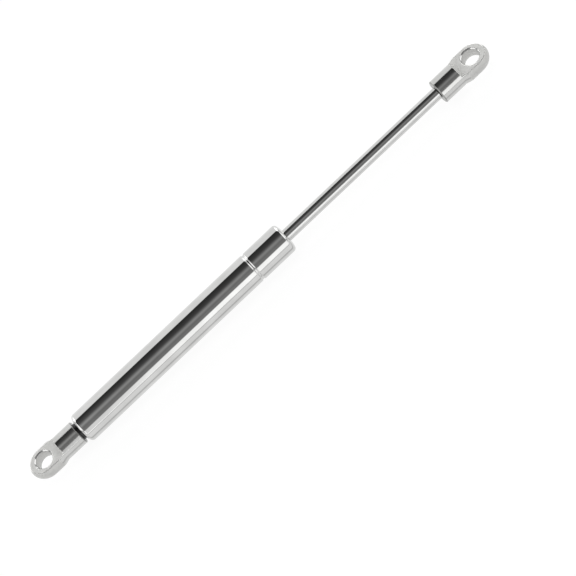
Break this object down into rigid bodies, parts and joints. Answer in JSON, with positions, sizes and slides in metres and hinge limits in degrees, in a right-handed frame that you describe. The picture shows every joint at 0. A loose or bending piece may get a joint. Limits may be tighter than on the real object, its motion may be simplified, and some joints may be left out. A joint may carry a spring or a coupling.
{
  "type": "gas strut stay",
  "caption": "Polished stainless gas strut: round tube with rolled ends, slim sliding rod and a flat bored eye at each end.",
  "frame": {"origin": "centre of the bore in the tube eye", "axes": "+X along the strut from the tube eye to the rod eye, +Z along the tube eye's bore, +Y across"},
  "size_m": [0.2764, 0.015, 0.015],
  "materials": {
    "polished_tube": "mirror-polished stainless steel",
    "ground_rod": "ground and polished stainless steel",
    "satin_stainless": "stainless steel, polished shank and satin eye",
    "turned_steel": "turned stainless steel",
    "bronze": "turned bearing bronze",
    "ptfe_liner": "dark filled PTFE",
    "white_polymer": "white nylon",
    "nitrile_rubber": "moulded nitrile rubber",
    "cast_aluminium": "turned aluminium"
  },
  "bodies": {
    "cylinder": {"pressure_tube": "polished_tube", "end_plug": "turned_steel", "end_plug_seal": "nitrile_rubber", "end_stud": "turned_steel", "tube_eye": "satin_stainless", "front_washer": "turned_steel", "guide_sleeve": "bronze", "guide_liner": "ptfe_liner", "guide_seal": "nitrile_rubber", "rod_wiper": "nitrile_rubber", "seal_support": "white_polymer", "rod_seal": "nitrile_rubber", "seal_seat": "turned_steel"},
    "slider": {"piston_ring": "ptfe_liner"},
    "rod": {"piston_rod": "ground_rod", "stop_ring": "nitrile_rubber", "valve_disc": "turned_steel", "piston": "cast_aluminium", "rear_disc": "turned_steel", "piston_nut": "turned_steel", "rod_eye": "satin_stainless"}
  },
  "joints": [
    {"name": "rod_slide", "type": "slide", "parent": "cylinder", "child": "slider", "axis": [1, 0, 0], "range_m": [-0.08, 0], "stiffness_N_per_m": 375, "springref_m": 0.2667},
    {"name": "rod_turn", "type": "hinge", "parent": "slider", "child": "rod", "pos_m": [0.1195, 0, 0], "axis": [1, 0, 0], "continuous": true}
  ]
}
